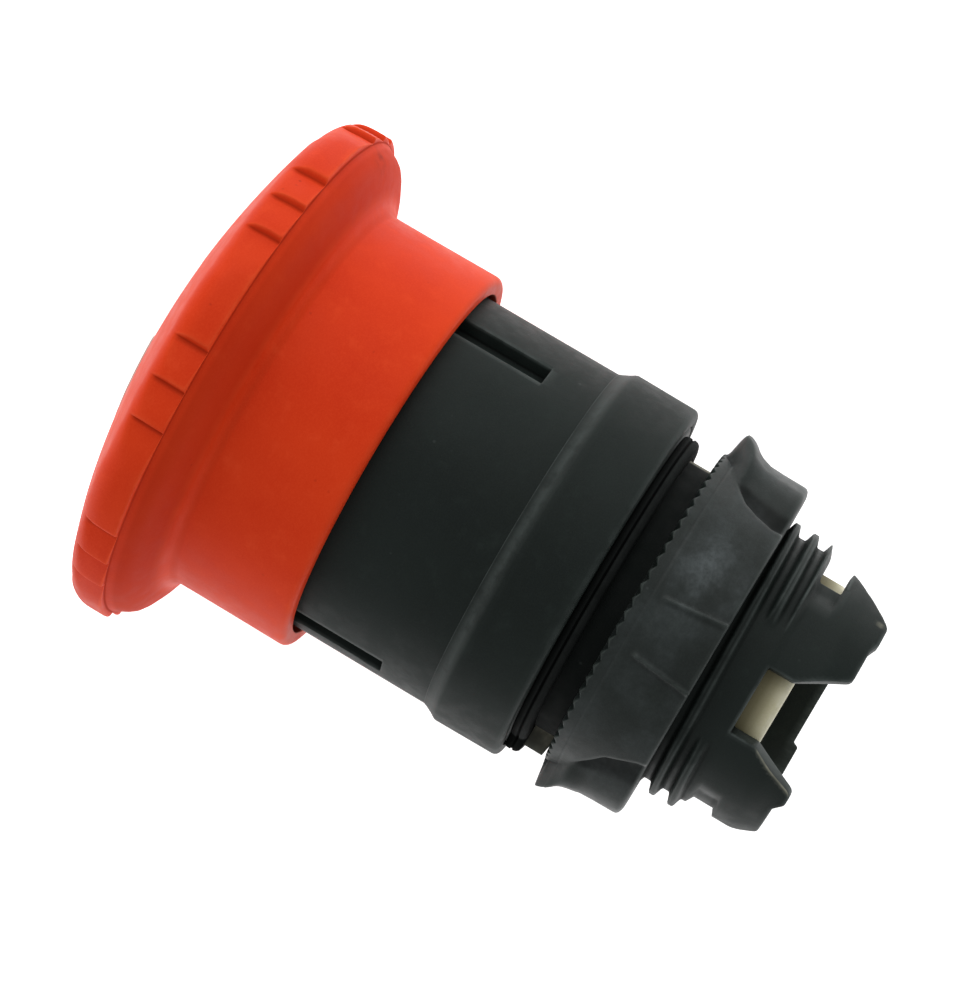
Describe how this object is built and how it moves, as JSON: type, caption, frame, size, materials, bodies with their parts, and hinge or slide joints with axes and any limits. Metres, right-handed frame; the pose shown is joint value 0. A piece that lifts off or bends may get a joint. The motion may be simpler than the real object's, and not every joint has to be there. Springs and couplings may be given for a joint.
{
  "type": "emergency stop button",
  "caption": "Panel-mount emergency stop head with a red mushroom cap, turn-to-release latch, threaded black body, ribbed nut and rear tongues for a contact block.",
  "frame": {"origin": "on the button's axis, in the plane of the panel's front face, where the gasket seats", "axes": "+Y along the axis to the rear of the panel, the cap faces -Y; +X towards the locating key of the panel hole; +Z towards the gap between the tongues"},
  "size_m": [0.04, 0.0547, 0.04],
  "materials": {
    "red_plastic": "satin moulded",
    "white_print": "printed",
    "black_plastic": "fine-grained moulded",
    "cream_plastic": "satin moulded",
    "spring_steel": "drawn wire",
    "plain_steel": "stamped and turned",
    "black_rubber": "matt"
  },
  "bodies": {
    "body": {"outer_sleeve": "black_plastic", "bezel_ring": "black_plastic", "threaded_barrel": "black_plastic", "panel_gasket": "black_rubber", "latch_housing": "black_plastic", "turn_stop": "black_plastic", "trip_seat": "plain_steel", "spring_seat": "plain_steel", "sleeve_seal": "black_rubber", "main_spring": "spring_steel", "trip_spring": "spring_steel", "pawl_spring_left": "spring_steel", "pawl_spring_right": "spring_steel"},
    "plunger": {"plunger": "cream_plastic", "plunger_stem": "plain_steel", "hub_clip": "spring_steel"},
    "cap": {"mushroom_cap": "red_plastic", "turn_arrows": "white_print", "cap_hub": "black_plastic", "release_cam": "cream_plastic", "thrust_washer": "plain_steel", "turn_spring": "spring_steel"},
    "latch_pawl_left": {"latch_pawl_left": "plain_steel"},
    "latch_pawl_right": {"latch_pawl_right": "plain_steel"},
    "nut": {"mounting_nut": "black_plastic"}
  },
  "joints": [
    {"name": "head_press", "type": "slide", "parent": "body", "child": "plunger", "axis": [0, 1, 0], "range_m": [0, 0.0045], "stiffness_N_per_m": 1500, "springref_m": -0.002, "deforming": ["main_spring", "trip_spring"]},
    {"name": "head_turn", "type": "hinge", "parent": "plunger", "child": "cap", "pos_m": [0, 0, 0], "axis": [0, 1, 0], "range_deg": [0, 40], "stiffness_Nm_per_rad": 0.02, "springref_deg": -11.46, "deforming": ["turn_spring"]},
    {"name": "pawl_left_slide", "type": "slide", "parent": "body", "child": "latch_pawl_left", "axis": [1, 0, 0], "range_m": [0, 0.0009], "deforming": ["pawl_spring_left"]},
    {"name": "pawl_right_slide", "type": "slide", "parent": "body", "child": "latch_pawl_right", "axis": [-1, 0, 0], "range_m": [0, 0.0009], "deforming": ["pawl_spring_right"]},
    {"name": "nut_turn", "type": "hinge", "parent": "body", "child": "nut", "pos_m": [0, 0, 0], "axis": [0, 1, 0], "continuous": true}
  ],
  "couplings": [
    {"joint": "pawl_left_slide", "follows": "head_press", "ratio": 0.2},
    {"joint": "pawl_right_slide", "follows": "head_press", "ratio": 0.2}
  ]
}
